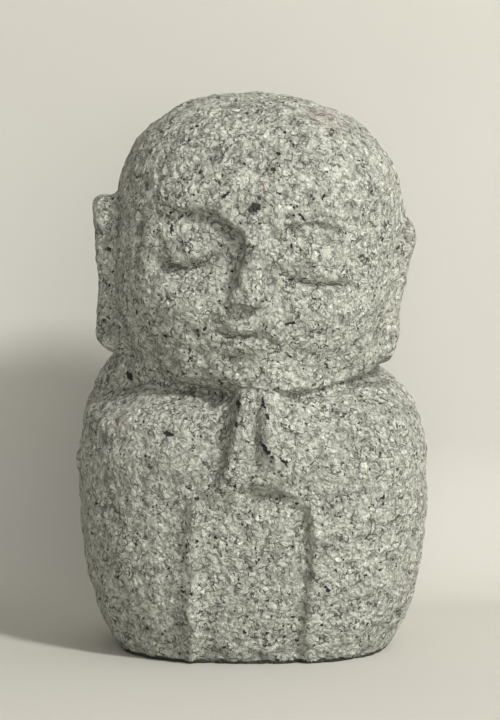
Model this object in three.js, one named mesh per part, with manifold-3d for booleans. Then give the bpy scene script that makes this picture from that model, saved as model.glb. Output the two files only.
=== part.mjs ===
// A small stone jizo: a child monk carved from one block of granite, with shut eyes and joined hands.
// Millimetres, +Z up, and the face looks along -Y. The origin is the middle of the sawn underside.
// The figure is one field, negative inside the stone, and its zero surface becomes the mesh.
import * as THREE from "three";
import Module from "manifold-3d";

// The block: a robe with the head resting on it. Up and down are the reaches from its widest level.
const HEIGHT = 150;
const ROBE = { x: -0.2, z: 49.8, halfWidth: 47.2, halfDepth: 36.5, up: 39, down: 65 };
const ROBE_SQUARENESS = { plan: 2.25, up: 2.42, down: 2.65 };
const SHOULDER_TILT = 4.9; // the shoulder on the viewer's left rises this much more, the other less
const HEAD = { x: 1.1, z: 116.3, halfWidth: 38.7, halfDepth: 36, up: 33.6, down: 43.6 };
const HEAD_SQUARENESS = { plan: 2.3, up: 2.32, down: 3.8 };
const HEAD_TILT = 5.8; // degrees, clockwise as the viewer sees it
const CHIN_Z = 71.5;

// Ears: long slabs on the sides of the head. The lean is how much less the lobe reaches out than the top.
const LEFT_EAR = { side: -1, reach: 43.8, lean: 2, length: 42.4, z: 101.6, topCorner: 2.6, lobeCorner: 5.5 };
const RIGHT_EAR = { side: 1, reach: 44.2, lean: 5.7, length: 41.4, z: 97.6, topCorner: 8, lobeCorner: 5 };
const EAR_THICKNESS = 18; // front to back, at the top
const EAR_TAPER = 5; // how much thinner the lobe is
const EAR_TILT = 3; // degrees
const EAR_FRONT_Y = -13;
const EAR_HOLLOW = 1.6; // depth of the shell-shaped hollow in the outer face
const EAR_BLEND = 2.5;

// Neck: one crease between the jaw and the shoulders, with the chest cut back under the jaw's left half
const NECK_GROOVE = 1.6;
const NECK_BLEND = 1.6;
const JAW_HOLLOW = 5.6;
const JAW_HOLLOW_Z = 72;
const JAW_HOLLOW_SIZE = 8;

// Face, in its own upright axes: u to the viewer's right, w up, from the point between the eyes
const FACE_X = -1.2;
const FACE_Z = 102.8;
const FACE_TILT = 6.5; // degrees, clockwise as the viewer sees it
const BROW_W = 14.9; // height of the top of the brow arch
const BROW_U = 15; // distance of that top from the middle
const BROW_FALL = 4.6; // how far the arch has dropped where it meets the nose
const BROW_END = 26;
const SOCKET_DEPTH = 3;
const SOCKET_HEIGHT = 8.3; // how far below the eye line the socket has run out
const RIGHT_SOCKET_SHARE = 0.55; // the socket on the viewer's right is cut less deep
const LEFT_EYE = { side: -1, u: 17.6, width: 12.6, slant: 0.7, lidWidth: 18, slitDepth: 2.4, slitWidth: 2.5 };
const RIGHT_EYE = { side: 1, u: 16.8, width: 18.5, slant: 0.2, lidWidth: 18.5, slitDepth: 1.7, slitWidth: 1.8 };
const LID_BULGE = 1.6;
const EYE_SAG = 1.3; // the shut lids hang in a shallow bow
const LID_HEIGHT = 10.5;
const NOSE_U = 0.1;
const NOSE_BASE_W = -7.3;
const NOSE_BASE_SAG = 1.3;
const NOSE_ROOT_WIDTH = 7.4;
const NOSE_BASE_WIDTH = 11.4;
const NOSE_HEIGHT = 4.7;
const MOUTH_U = 0.5;
const MOUTH_W = -15.7;
const MOUTH_WIDTH = 17.5;
const MOUTH_DIP = 0.8; // the middle of the mouth line hangs this much
const MOUTH_DROOP = 3.2; // its right end falls this much
const MOUTH_SLIT_DEPTH = 1.8;
const MOUTH_SLIT_WIDTH = 1.6;
const MUZZLE_BULGE = 2.4;
const MUZZLE_SIZE = [13, 10];
const LIP_HEIGHT = 3;
const LIP_BULGE = 0.6;
const CHIN_CREASE = 0.6;
const CHIN_U = 2;
const CHIN_W = -25.5;
const CHIN_SIZE = 9;
const CHIN_BULGE = 1;
const JAW_U = 4;
const JAW_W = -30;
const JAW_SIZE = 11;
const JAW_BULGE = 4.2;
const JAW_HALF_WIDTH = 26;
const JAW_FADE = 8;
const JOWLS = [
  { middle: [8, -24, 70], size: [20, 31, 12], bulge: 2.5 },
  { middle: [30, -12, 75], size: [20, 20, 12], bulge: 3 },
];
const CHEEK_U = 20;
const CHEEK_W = -12;
const CHEEK_SIZE = 12;
const CHEEK_BULGE = 1.1;
const CHEEK_FOLD_DEPTH = 0.5;

// Joined hands, from the wrists up to the chin
const HANDS_X = 0.5;
const HANDS_TOP_Z = 72.6;
const WRIST_Z = 48.5;
const FINGER_HALF_WIDTH = 5.1;
const WRIST_SPREAD = 5;
const FINGER_HEIGHT = 6.2; // how far the fingertips stand out from the chest
const WRIST_HEIGHT = 2.6;
const SEAM_DEPTH = 2.6;
const SEAM_WIDTHS = [1.7, 2.3]; // steep on the left hand's side, sloping on the other
const HAND_HOLLOW = 3; // the chest to the left of the hands is cut back
const HAND_HOLLOW_SIZE = 10;
const RIGHT_HAND_MELT = 1.6; // half the width of the right hand's outer edge at the fingertips

// Sleeves, which hang to the hem on both sides of a sunk front panel of the robe
const PANEL_LEFT = [-13.6, 44];
const PANEL_RIGHT = [14.3, 42.4];
const PANEL_LEAN = 1.3; // both edges stand this much further left at the hem
const PANEL_DEPTH = 3.8;
const LEFT_EDGE = 2.1; // half the width of the slope from the left sleeve into the panel
const RIGHT_EDGE = 1.3;
const SLEEVE_LIP = 1.8;
const SLEEVE_VALLEY = 0.7;
const FOREARM_SLOPE = 1.6; // the underside of the right forearm falls back to the panel
const FOREARM_LEDGE = 1.1; // the left forearm stands out below this level
const FOREARM_Z = 57.6;
const CHEST_VALLEY = 0.6; // between the right hand and the right shoulder
const CHEST_VALLEY_ENDS = [[20, 66], [28, 55]];
const CHEST_VALLEY_SIZE = 6;
const CHEST_FALL = 3.4; // the chest falls back this much towards the jaw

// The hammered faces wander by this much, in waves of about this length
const WANDER = 0.35;
const WANDER_LENGTH = 23;

// Spacing of the samples, and how many triangles the finished mesh keeps
const STEP = 1.7;
const TRIANGLES = 9400;
const FRONT_WEIGHT = 4; // how much more closely the carved front is kept than the plain back
const BASE_WEIGHT = 300; // how much more closely the sawn underside is kept

const { abs, cos, exp, hypot, max, min, sign, sin, PI } = Math;
const clamp = (value, low, high) => min(high, max(low, value));

// 0 below low, 1 above high, smooth between; low may also be the larger number
function ramp(low, high, value) {
  const share = clamp((value - low) / (high - low), 0, 1);
  return share * share * (3 - 2 * share);
}

// A bell of height 1 at distance 0 that has faded out at about the given size
const bell = (distance, size) => exp(-3 * (distance / size) ** 2);

// The smaller of two fields, with the valley between them rounded over about this radius
function join(a, b, radius) {
  const share = max(radius - abs(a - b), 0) / radius;
  return min(a, b) - (share * share * radius) / 4;
}

// Distance from (x, z) to the line from a to b, in the front view
function toSegment(x, z, [ax, az], [bx, bz]) {
  const along = (x - ax) * (bx - ax) + (z - az) * (bz - az);
  const share = clamp(along / ((bx - ax) ** 2 + (bz - az) ** 2), 0, 1);
  return hypot(x - ax - share * (bx - ax), z - az - share * (bz - az));
}

// The point (x, z) in axes turned clockwise about (cx, cz) by an angle in degrees
function turned(x, z, cx, cz, angle) {
  const c = cos((angle * PI) / 180);
  const s = sin((angle * PI) / 180);
  return [(x - cx) * c - (z - cz) * s, (x - cx) * s + (z - cz) * c];
}

// Distance to a rounded block round the origin, measured towards its middle
function roundedBlock(x, y, z, halfWidth, halfDepth, reach, planPower, power) {
  const plan = (abs(x / halfWidth) ** planPower + abs(y / halfDepth) ** planPower) ** (1 / planPower);
  const level = (plan ** power + abs(z / reach) ** power) ** (1 / power);
  return hypot(x, y, z) * (1 - 1 / max(level, 0.05));
}

function robe(x, y, z) {
  const across = x - ROBE.x;
  const up = z - ROBE.z;
  const shoulder = ROBE.up - SHOULDER_TILT * sin((clamp(across / 30, -1, 1) * PI) / 2);
  const reach = up > 0 ? shoulder : ROBE.down;
  const power = up > 0 ? ROBE_SQUARENESS.up : ROBE_SQUARENESS.down;
  return roundedBlock(across, y, up, ROBE.halfWidth, ROBE.halfDepth, reach, ROBE_SQUARENESS.plan, power);
}

function head(x, y, z) {
  const [across, up] = turned(x, z, HEAD.x, HEAD.z, HEAD_TILT);
  const reach = up > 0 ? HEAD.up : HEAD.down;
  const power = up > 0 ? HEAD_SQUARENESS.up : HEAD_SQUARENESS.down;
  return roundedBlock(across, y, up, HEAD.halfWidth, HEAD.halfDepth, reach, HEAD_SQUARENESS.plan, power);
}

// The jaw is fuller on the right, where it comes lower over the chest.
function jowl(x, y, z, { middle, size, bulge }) {
  const away = hypot((x - middle[0]) / size[0], (y - middle[1]) / size[1], (z - middle[2]) / size[2]);
  return bulge * bell(away, 1);
}

function ear(x, y, z, { side, reach, lean, length, z: middleZ, topCorner, lobeCorner }) {
  const c = cos((EAR_TILT * PI) / 180);
  const s = sin((EAR_TILT * PI) / 180);
  const out = side * (x * c - (z - middleZ) * s);
  const up = (z - middleZ) * c + (x - side * 40) * s;
  const down = clamp(0.5 - up / length, 0, 1);
  const corner = lobeCorner + (topCorner - lobeCorner) * ramp(-length / 4, length / 4, up);
  const halfReach = HEAD.halfWidth / 2;
  const acrossY = y - EAR_FRONT_Y - EAR_THICKNESS / 2;
  const dx = abs(out - reach + lean * down + halfReach) - halfReach + corner;
  const dy = abs(acrossY) - (EAR_THICKNESS - EAR_TAPER * down) / 2 + corner;
  const dz = abs(up) - length / 2 + corner;
  const slab = hypot(max(dx, 0), max(dy, 0), max(dz, 0)) + min(max(dx, dy, dz), 0) - corner;
  const shell = out > HEAD.halfWidth ? EAR_HOLLOW * bell(hypot(acrossY * 2.6, up), length / 2) : 0;
  return slab + shell;
}

// Heights of the face's carving above the plain head. Each takes a point of the face.
function socket(u, w) {
  const side = abs(u);
  const span = side < BROW_U ? BROW_U - NOSE_ROOT_WIDTH / 2 : (BROW_END - BROW_U) * 1.6;
  const brow = BROW_W - BROW_FALL * ((side - BROW_U) / span) ** 2;
  const outwards = ramp(BROW_END + 3, BROW_U, side);
  const cut = ramp(0.7, -1.2, w - brow) * ramp(-SOCKET_HEIGHT, 0, w) * outwards;
  const share = u < 0 ? 1 : RIGHT_SOCKET_SHARE;
  return -SOCKET_DEPTH * share * cut + 0.4 * bell(w - brow - 3, 6) * outwards;
}

function lid(u, w, { side, u: middle, width, slant, lidWidth, slitDepth, slitWidth }) {
  const off = side * u - middle;
  const along = off / (width / 2);
  const above = w - EYE_SAG * (along * along - 0.5) + slant * along;
  const dome = hypot(off / (lidWidth / 2), (above - LID_HEIGHT / 2) / (LID_HEIGHT * 0.62));
  const slit = bell(above + 0.3, slitWidth) * ramp(1.3, 0.6, abs(along));
  return LID_BULGE * bell(dome, 1.35) * ramp(-0.7, 0.7, above) - slitDepth * slit;
}

// A ridge that widens and rises to its tip, laid over the relief round it
function withNose(relief, u, w) {
  const down = clamp((BROW_W - w) / (BROW_W - NOSE_BASE_W), 0, 1);
  const half = (NOSE_ROOT_WIDTH + (NOSE_BASE_WIDTH - NOSE_ROOT_WIDTH) * down ** 3) / 2;
  const off = clamp(abs(u - NOSE_U) / half, 0, 1);
  const ridge = 1 - off ** 2.8;
  const base = NOSE_BASE_W - NOSE_BASE_SAG * ridge;
  const growth = (0.4 + 0.6 * down) * ramp(BROW_W + 2, BROW_W - 7, w);
  const rise = NOSE_HEIGHT * growth * ramp(base - 0.9, base + 1.1, w);
  return max(relief, relief * (1 - ridge) + rise * ridge);
}

function mouth(u, w) {
  const along = (u - MOUTH_U) / (MOUTH_WIDTH / 2);
  const line = MOUTH_W - MOUTH_DIP * bell(along + 0.1, 0.75) - MOUTH_DROOP * ramp(0.55, 1.3, along);
  const above = w - line;
  const muzzle = hypot((u - MOUTH_U) / MUZZLE_SIZE[0], (w - MOUTH_W - 0.5) / MUZZLE_SIZE[1]);
  const lower = bell(hypot(along * 1.25, above / LIP_HEIGHT + 1), 1.2);
  const upper = bell(hypot(along * 1.1, above / LIP_HEIGHT - 0.9), 1.2);
  const slit = bell(above, MOUTH_SLIT_WIDTH) * ramp(1.25, 0.7, abs(along));
  const crease = bell(hypot(along * 1.3, (above + LIP_HEIGHT * 2) / 1.8), 1);
  const lips = LIP_BULGE * (lower + 0.6 * upper);
  return MUZZLE_BULGE * bell(muzzle, 1.25) + lips - MOUTH_SLIT_DEPTH * slit - CHIN_CREASE * crease;
}

function faceRelief(x, z) {
  const [u, w] = turned(x, z, FACE_X, FACE_Z, FACE_TILT);
  const side = abs(u);
  const fold = toSegment(side, w, [NOSE_BASE_WIDTH * 0.7, -6], [MOUTH_WIDTH * 0.62, MOUTH_W - 2]);
  let relief = withNose(socket(u, w) + lid(u, w, LEFT_EYE) + lid(u, w, RIGHT_EYE), u, w) + mouth(u, w);
  relief += CHIN_BULGE * bell(hypot(u - CHIN_U, w - CHIN_W), CHIN_SIZE);
  relief += CHEEK_BULGE * bell(hypot(side - CHEEK_U, w - CHEEK_W), CHEEK_SIZE);
  const acrossJaw = ramp(JAW_HALF_WIDTH + JAW_FADE, JAW_HALF_WIDTH - JAW_FADE, abs(u - JAW_U));
  relief += JAW_BULGE * bell(w - JAW_W, JAW_SIZE) * acrossJaw;
  return relief - CHEEK_FOLD_DEPTH * bell(fold, 2.8);
}

// How far (x, z) lies above the line from the wrists to a corner of the panel
function aboveLine(x, z, [bx, bz]) {
  const dx = bx - HANDS_X;
  const dz = bz - WRIST_Z;
  return (sign(dx) * (dx * (z - WRIST_Z) - dz * (x - HANDS_X))) / hypot(dx, dz);
}

// Height of the carving on the robe's front
function robeRelief(x, z) {
  // The panel, whose right edge is a sharp step and whose left edge is a soft one
  const lean = PANEL_LEAN * clamp(1 - z / PANEL_RIGHT[1], 0, 1);
  const pastRight = max(x - PANEL_RIGHT[0] + lean + 0.6 * sin(z / 6), aboveLine(x, z, PANEL_RIGHT));
  const pastLeft = max(PANEL_LEFT[0] - lean + 0.5 * sin(z / 5) - x, aboveLine(x, z, PANEL_LEFT));
  const fade = x < 0 ? 1 - ramp(PANEL_LEFT[1] - 6, PANEL_LEFT[1] + 5, z) * ramp(2, -5, x) : 1;
  const edgeWidth = RIGHT_EDGE + 0.9 * ramp(PANEL_RIGHT[1] - 2, PANEL_RIGHT[1] + 1.5, z);
  const sunk = ramp(edgeWidth, -edgeWidth, pastRight) * ramp(LEFT_EDGE, -LEFT_EDGE, pastLeft) * fade;
  const shallower = 0.55 + 0.45 * ramp(0, PANEL_RIGHT[1] * 0.75, z);
  let relief = -PANEL_DEPTH * (0.5 + 0.5 * bell(pastRight, 9)) * shallower * sunk;
  const sleeve = SLEEVE_LIP * bell(pastLeft - 2.4, 3.2) - SLEEVE_VALLEY * bell(pastLeft - 8, 6);
  relief += sleeve * ramp(PANEL_LEFT[1] + 4, PANEL_LEFT[1] - 2, z) * ramp(-4, 7, z);

  // Hands: a ridge that narrows to the fingertips, split by a seam; the right one melts into its sleeve
  const up = clamp((z - WRIST_Z) / (HANDS_TOP_Z - WRIST_Z), 0, 1);
  const halfHands = FINGER_HALF_WIDTH + WRIST_SPREAD * (1 - up) ** 1.4;
  const off = x - HANDS_X;
  const tips = ramp(HANDS_TOP_Z + 0.9, HANDS_TOP_Z - 0.9, z);
  const melt = off < 0 ? 1.4 : RIGHT_HAND_MELT + 3.5 * (1 - up);
  const edge = ramp(halfHands + melt, halfHands - melt, abs(off));
  const height = WRIST_HEIGHT + (FINGER_HEIGHT - WRIST_HEIGHT) * up;
  relief += height * edge * tips * ramp(WRIST_Z - 5, WRIST_Z + 4, z) * (1 - sunk);
  const seam = bell(off, off < 0 ? SEAM_WIDTHS[0] : SEAM_WIDTHS[1]);
  relief -= SEAM_DEPTH * seam * tips * ramp(WRIST_Z, WRIST_Z + 7, z);
  const besideHands = bell(-off - halfHands - 4.5, HAND_HOLLOW_SIZE);
  relief -= HAND_HOLLOW * besideHands * ramp(WRIST_Z + 2, WRIST_Z + 14, z);

  // Forearms and chest
  const under = toSegment(x, z, [HANDS_X + 1, WRIST_Z + 4.5], [PANEL_RIGHT[0] + 2, PANEL_RIGHT[1] + 2.6]);
  relief -= FOREARM_SLOPE * bell(under, 6.5) * ramp(-1, 1, pastRight);
  const below = FOREARM_Z - 0.004 * (x + 22) ** 2 + 0.5 * sin(x / 4) - z;
  relief += FOREARM_LEDGE * ramp(-1.8, 1.8, below) * ramp(18, 0, below) * ramp(-8, -20, x);
  relief -= CHEST_VALLEY * bell(toSegment(x, z, ...CHEST_VALLEY_ENDS), CHEST_VALLEY_SIZE);
  relief -= CHEST_FALL * ramp(CHIN_Z - 9.5, CHIN_Z + 4.5, z);
  relief -= JAW_HOLLOW * bell(z - JAW_HOLLOW_Z, JAW_HOLLOW_SIZE) * ramp(-3, -11, x);
  return relief;
}

// The slow unevenness of faces dressed by hand
function wander(x, y, z) {
  const k = (2 * PI) / WANDER_LENGTH;
  const first = sin(k * x + 1.1 * sin(k * 0.6 * z + 0.4)) * sin(k * 0.8 * z + 0.9);
  const second = sin(k * 1.3 * y + 2.1) * sin(k * 0.77 * (x - z) + 0.3);
  return WANDER * (0.6 * first + 0.5 * second);
}

// The whole figure
function stone(x, y, z) {
  const front = ramp(2, -14, y);
  const block = robe(x, y, z) - front * robeRelief(x, z);
  const face = front * faceRelief(x, z) * ramp(CHIN_Z - 9, CHIN_Z - 4, z);
  const skull = head(x, y, z) - face - jowl(x, y, z, JOWLS[0]) - jowl(x, y, z, JOWLS[1]);
  const bust = join(skull, min(ear(x, y, z, LEFT_EAR), ear(x, y, z, RIGHT_EAR)), EAR_BLEND);
  const radius = NECK_GROOVE * (1 - 1.5 * front * ramp(4, -8, x));
  const groove = radius - hypot(bust - NECK_BLEND / 4, block - NECK_BLEND / 4);
  return max(join(bust, block, NECK_BLEND), groove) - wander(x, y, z);
}

// The squared distance to a plane n.p + d = 0, times a weight, as ten sums that add up over planes
const planeSums = ([a, b, c], d, weight) =>
  [a * a, a * b, a * c, a * d, b * b, b * c, b * d, c * c, c * d, d * d].map((sum) => sum * weight);

const cross = ([a, b, c], [d, e, f]) => [b * f - c * e, c * d - a * f, a * e - b * d];
const minus = (p, q) => [p[0] - q[0], p[1] - q[1], p[2] - q[2]];
const dot = (p, q) => p[0] * q[0] + p[1] * q[1] + p[2] * q[2];

// What the sums of squares come to at a point
function errorAt(q, [x, y, z]) {
  const squares = q[0] * x * x + q[4] * y * y + q[7] * z * z;
  const products = 2 * (q[1] * x * y + q[2] * x * z + q[5] * y * z);
  return squares + products + 2 * (q[3] * x + q[6] * y + q[8] * z) + q[9];
}

// The point where the sums are least, or null where they hardly single one out
function leastPoint(q) {
  const rows = [[q[0], q[1], q[2]], [q[1], q[4], q[5]], [q[2], q[5], q[7]]];
  const right = [-q[3], -q[6], -q[8]];
  const size = q[0] + q[4] + q[7];
  const det = dot(rows[0], cross(rows[1], rows[2]));
  if (abs(det) < 1e-4 * size ** 3) return null;
  const swapped = (column) => rows.map((row, i) => row.map((value, j) => (j === column ? right[i] : value)));
  return [0, 1, 2].map((column) => {
    const m = swapped(column);
    return dot(m[0], cross(m[1], m[2])) / det;
  });
}

// A heap of [cost, ...] entries, cheapest first
class Heap {
  items = [];
  push(item) {
    const { items } = this;
    let i = items.push(item) - 1;
    for (let up = (i - 1) >> 1; i > 0 && items[up][0] > item[0]; up = (i - 1) >> 1) {
      items[i] = items[up];
      i = up;
    }
    items[i] = item;
  }
  pop() {
    const { items } = this;
    const top = items[0];
    const last = items.pop();
    if (!items.length) return top;
    let i = 0;
    for (let kid = 1; kid < items.length; kid = 2 * i + 1) {
      if (kid + 1 < items.length && items[kid + 1][0] < items[kid][0]) kid += 1;
      if (items[kid][0] >= last[0]) break;
      items[i] = items[kid];
      i = kid;
    }
    items[i] = last;
    return top;
  }
}

// Merges the two ends of the least missed edge, again and again, until few enough triangles are left
function thinned(points, faces, wanted) {
  const around = points.map(() => new Set());
  const sums = points.map(() => new Array(10).fill(0));
  const stamps = new Uint32Array(points.length);
  const addSums = (v, extra) => extra.forEach((value, i) => (sums[v][i] += value));
  const normalOf = ([p, q, r]) => cross(minus(q, p), minus(r, p));
  faces.forEach((face, f) => {
    const corners = face.map((v) => points[v]);
    const normal = normalOf(corners);
    const area = hypot(...normal) / 2;
    face.forEach((v) => around[v].add(f));
    if (area < 1e-9) return;
    const unit = normal.map((value) => value / (2 * area));
    const onBase = corners.every((corner) => corner[2] < 1e-6);
    const weight = onBase ? BASE_WEIGHT : 1 + (FRONT_WEIGHT - 1) * ramp(-10, -22, corners[0][1]);
    const plane = planeSums(unit, -dot(unit, corners[0]), (weight * area) / 3);
    face.forEach((v) => addSums(v, plane));
  });
  const neighbours = (v) => {
    const found = new Set();
    around[v].forEach((f) => faces[f].forEach((other) => found.add(other)));
    found.delete(v);
    return found;
  };
  const heap = new Heap();
  const offer = (a, b) => {
    const q = sums[a].map((value, i) => value + sums[b][i]);
    const middle = points[a].map((value, i) => (value + points[b][i]) / 2);
    const length = hypot(...minus(points[a], points[b]));
    const least = leastPoint(q);
    const at = least && hypot(...minus(least, middle)) < length ? least : middle;
    const cost = max(errorAt(q, at), 0) + 2e-5 * length ** 4;
    heap.push([cost, a, b, stamps[a], stamps[b], at]);
  };
  // A merge is refused where it would turn a triangle over or squeeze it flat
  const spoils = (v, other, at) =>
    [...around[v]].some((f) => {
      if (faces[f].includes(other)) return false;
      const before = normalOf(faces[f].map((w) => points[w]));
      const corners = faces[f].map((w) => (w === v ? at : points[w]));
      const after = normalOf(corners);
      const longest = max(...corners.map((p, i) => hypot(...minus(p, corners[(i + 1) % 3]))));
      const flat = hypot(...after) < 0.12 * longest * longest && hypot(...after) < hypot(...before);
      return flat || dot(before, after) < 0.35 * hypot(...before) * hypot(...after);
    });
  points.forEach((_, a) => neighbours(a).forEach((b) => a < b && offer(a, b)));
  let left = faces.length;
  while (left > wanted && heap.items.length) {
    const [, a, b, stampA, stampB, at] = heap.pop();
    if (stamps[a] !== stampA || stamps[b] !== stampB || !around[a].size || !around[b].size) continue;
    const shared = [...neighbours(a)].filter((v) => neighbours(b).has(v));
    if (shared.length !== 2 || spoils(a, b, at) || spoils(b, a, at)) continue;
    points[a] = at;
    addSums(a, sums[b]);
    around[b].forEach((f) => {
      if (faces[f].includes(a)) {
        faces[f].forEach((v) => around[v].delete(f));
        faces[f] = null;
        left -= 1;
      } else {
        faces[f] = faces[f].map((v) => (v === b ? a : v));
        around[a].add(f);
      }
    });
    around[b].clear();
    stamps[a] += 1;
    stamps[b] += 1;
    neighbours(a).forEach((v) => offer(a, v));
  }
  return faces.filter(Boolean);
}

const wasm = await Module();
wasm.setup();

// Below z = 0 the surface runs on a little, and the saw cuts it off flat
const reach = [ROBE.halfWidth + 6, ROBE.halfDepth + 12];
const bounds = { min: [-reach[0], -reach[1], -3 * STEP], max: [reach[0], reach[1], HEIGHT + 4] };
const carved = wasm.Manifold.levelSet((at) => -stone(...at), bounds, STEP, 0, 0.02);
const sawn = carved.trimByPlane([0, 0, 1], 0).getMesh();
const three = (list, i) => [...list.subarray(3 * i, 3 * i + 3)];
const inThrees = (list) => Array.from({ length: list.length / 3 }, (_, i) => three(list, i));
const points = inThrees(sawn.vertProperties);
const faces = thinned(points, inThrees(sawn.triVerts), TRIANGLES);

// The underside is made exactly flat, and the block's middle goes to the origin
const used = [...new Set(faces.flat())].map((v) => points[v]);
const middle = [0, 1].map((i) => (min(...used.map((p) => p[i])) + max(...used.map((p) => p[i]))) / 2);
const settled = ([x, y, z]) => [x - middle[0], y - middle[1], abs(z) < 0.02 ? 0 : z];

const geometry = new THREE.BufferGeometry();
const position = Float32Array.from(faces.flat().flatMap((v) => settled(points[v])));
geometry.setAttribute("position", new THREE.BufferAttribute(position, 3));
geometry.computeVertexNormals();

const statue = new THREE.Mesh(geometry, new THREE.MeshStandardMaterial({ color: 0xa9aa9c, roughness: 0.9 }));
statue.name = "statue";

const part = new THREE.Group();
part.add(statue);
export default part;
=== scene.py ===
import bpy
import numpy as np
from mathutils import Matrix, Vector


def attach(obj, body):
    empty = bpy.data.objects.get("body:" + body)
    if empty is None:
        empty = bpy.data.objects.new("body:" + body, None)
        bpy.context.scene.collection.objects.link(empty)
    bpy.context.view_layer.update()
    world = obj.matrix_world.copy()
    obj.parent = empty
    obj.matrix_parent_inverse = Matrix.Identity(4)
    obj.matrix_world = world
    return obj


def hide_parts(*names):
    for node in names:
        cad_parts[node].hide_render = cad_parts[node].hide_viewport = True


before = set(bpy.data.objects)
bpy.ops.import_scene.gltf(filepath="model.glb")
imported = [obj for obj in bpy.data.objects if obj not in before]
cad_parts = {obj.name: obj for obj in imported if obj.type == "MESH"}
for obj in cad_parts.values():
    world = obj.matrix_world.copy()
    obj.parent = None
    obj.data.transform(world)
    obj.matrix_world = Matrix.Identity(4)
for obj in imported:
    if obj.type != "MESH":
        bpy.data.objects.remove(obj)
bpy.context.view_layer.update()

# A millimetre in metres
MM = 0.001

# The block: a robe with the head resting on it. Up and down are the reaches from its widest level.
ROBE = dict(x=-0.2, z=49.8, half_width=47.2, half_depth=36.5, up=39, down=65)
ROBE_SQUARENESS = dict(plan=2.25, up=2.42, down=2.65)
SHOULDER_TILT = 4.9
SHOULDER_RUN = 30
HEAD = dict(x=1.1, z=116.3, half_width=38.7, half_depth=36, up=33.6, down=43.6)
HEAD_SQUARENESS = dict(plan=2.3, up=2.32, down=3.8)
HEAD_TILT = 5.8
CHIN_Z = 71.5
CARVING_Y = (2, -14)

# Ears: slabs that lean inwards towards the lobe, with a shallow shell
EARS = (
    dict(side=-1, reach=43.8, lean=2, length=42.4, z=101.6, top_corner=2.6, lobe_corner=5.5),
    dict(side=1, reach=44.2, lean=5.7, length=41.4, z=97.6, top_corner=8, lobe_corner=5),
)
EAR_ROOT_X = 40
EAR_THICKNESS = 18
EAR_TAPER = 5
EAR_TILT = 3
EAR_FRONT_Y = -13
EAR_HOLLOW = 1.6
EAR_HOLLOW_SLIMNESS = 2.6
EAR_BLEND = 2.5

# Neck and jaw
NECK_GROOVE = 1.6
NECK_BLEND = 1.6
JAW_HOLLOW = 5.6
JAW_HOLLOW_Z = 72
JAW_HOLLOW_SIZE = 8

# Face: u runs across it and w up it, both from its middle
FACE_X = -1.2
FACE_Z = 102.8
FACE_TILT = 6.5
BROW_W = 14.9
BROW_U = 15
BROW_FALL = 4.6
BROW_END = 26
BROW_FADE = 3
BROW_RIDGE = 0.4
BROW_RIDGE_UP = 3
BROW_RIDGE_SIZE = 6
SOCKET_DEPTH = 3
SOCKET_BOTTOM = -8.3
RIGHT_SOCKET_SHARE = 0.55
EYES = (
    dict(side=-1, u=17.6, width=12.6, slant=0.7, lid_width=18, bulge=1.6, slit_depth=2.4, slit_width=2.5),
    dict(side=1, u=16.8, width=18.5, slant=0.2, lid_width=18.5, bulge=1.6, slit_depth=1.7, slit_width=1.8),
)
EYE_SAG = 1.3
LID_HEIGHT = 10.5
LID_EDGE = 0.7
NOSE_U = 0.1
NOSE_BASE_W = -7.3
NOSE_BASE_SAG = 1.3
NOSE_ROOT_WIDTH = 7.4
NOSE_BASE_WIDTH = 11.4
NOSE_HEIGHT = 4.7
NOSE_ROOT_SHARE = 0.4
NOSE_SQUARENESS = 2.8
MOUTH_U = 0.5
MOUTH_W = -15.7
MOUTH_WIDTH = 17.5
MOUTH_DIP = 0.8
MOUTH_DROOP = 3.2
MOUTH_SLIT_DEPTH = 1.8
MOUTH_SLIT_WIDTH = 1.6
MUZZLE_BULGE = 2.4
MUZZLE_SIZE = (13, 10)
LIP_HEIGHT = 3
LIP_BULGE = 0.6
UPPER_LIP_SHARE = 0.6
CHIN_CREASE = 0.6
CHIN_CREASE_WIDTH = 1.8
CHIN_U = 2
CHIN_W = -25.5
CHIN_SIZE = 9
CHIN_BULGE = 1
JAW_W = -30
JAW_SIZE = 11
JAW_BULGE = 4.2
JAW_U = 4
JAW_HALF_WIDTH = 26
JAW_FADE = 8
JOWLS = (
    dict(middle=(8, -24, 70), size=(20, 31, 12), bulge=2.5),
    dict(middle=(30, -12, 75), size=(20, 20, 12), bulge=3),
)
CHEEK_U = 20
CHEEK_W = -12
CHEEK_SIZE = 12
CHEEK_BULGE = 1.1
CHEEK_FOLD_DEPTH = 0.5
CHEEK_FOLD_WIDTH = 2.8

# Joined hands
HANDS_X = 0.5
HANDS_TOP_Z = 72.6
HANDS_TOP_EDGE = 0.9
WRIST_Z = 48.5
FINGER_HALF_WIDTH = 5.1
WRIST_SPREAD = 5
FINGER_HEIGHT = 6.2
WRIST_HEIGHT = 2.6
SEAM_DEPTH = 2.6
SEAM_X = 0
SEAM_WIDTHS = (1.7, 2.3)
HAND_HOLLOW = 3
HAND_HOLLOW_WIDTH = 10
LEFT_HAND_EDGE = 1.4
RIGHT_HAND_MELT = 1.6
WRIST_MELT = 3.5

# Robe: a sunk panel below the hands between two sleeves, and the forearms above it
PANEL_LEFT = (-13.6, 44)
PANEL_RIGHT = (14.3, 42.4)
PANEL_LEAN = 1.3
PANEL_DEPTH = 3.8
PANEL_FOOT_Z = 32
LEFT_EDGE = 2.1
RIGHT_EDGE = 1.3
RIGHT_EDGE_MELT = 0.9
SLEEVE_LIP = 1.8
SLEEVE_VALLEY = 0.7
FOREARM_SLOPE = 1.6
FOREARM_SLOPE_WIDTH = 6.5
FOREARM_LEDGE = 1.1
FOREARM_LEDGE_EDGE = 1.8
FOREARM_Z = 57.6
CHEST_VALLEY = 0.6
CHEST_VALLEY_WIDTH = 6
CHEST_VALLEY_ENDS = ((20, 66), (28, 55))
CHEST_FALL = 3.4
CHEST_FALL_Z = (62, 76)

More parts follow.
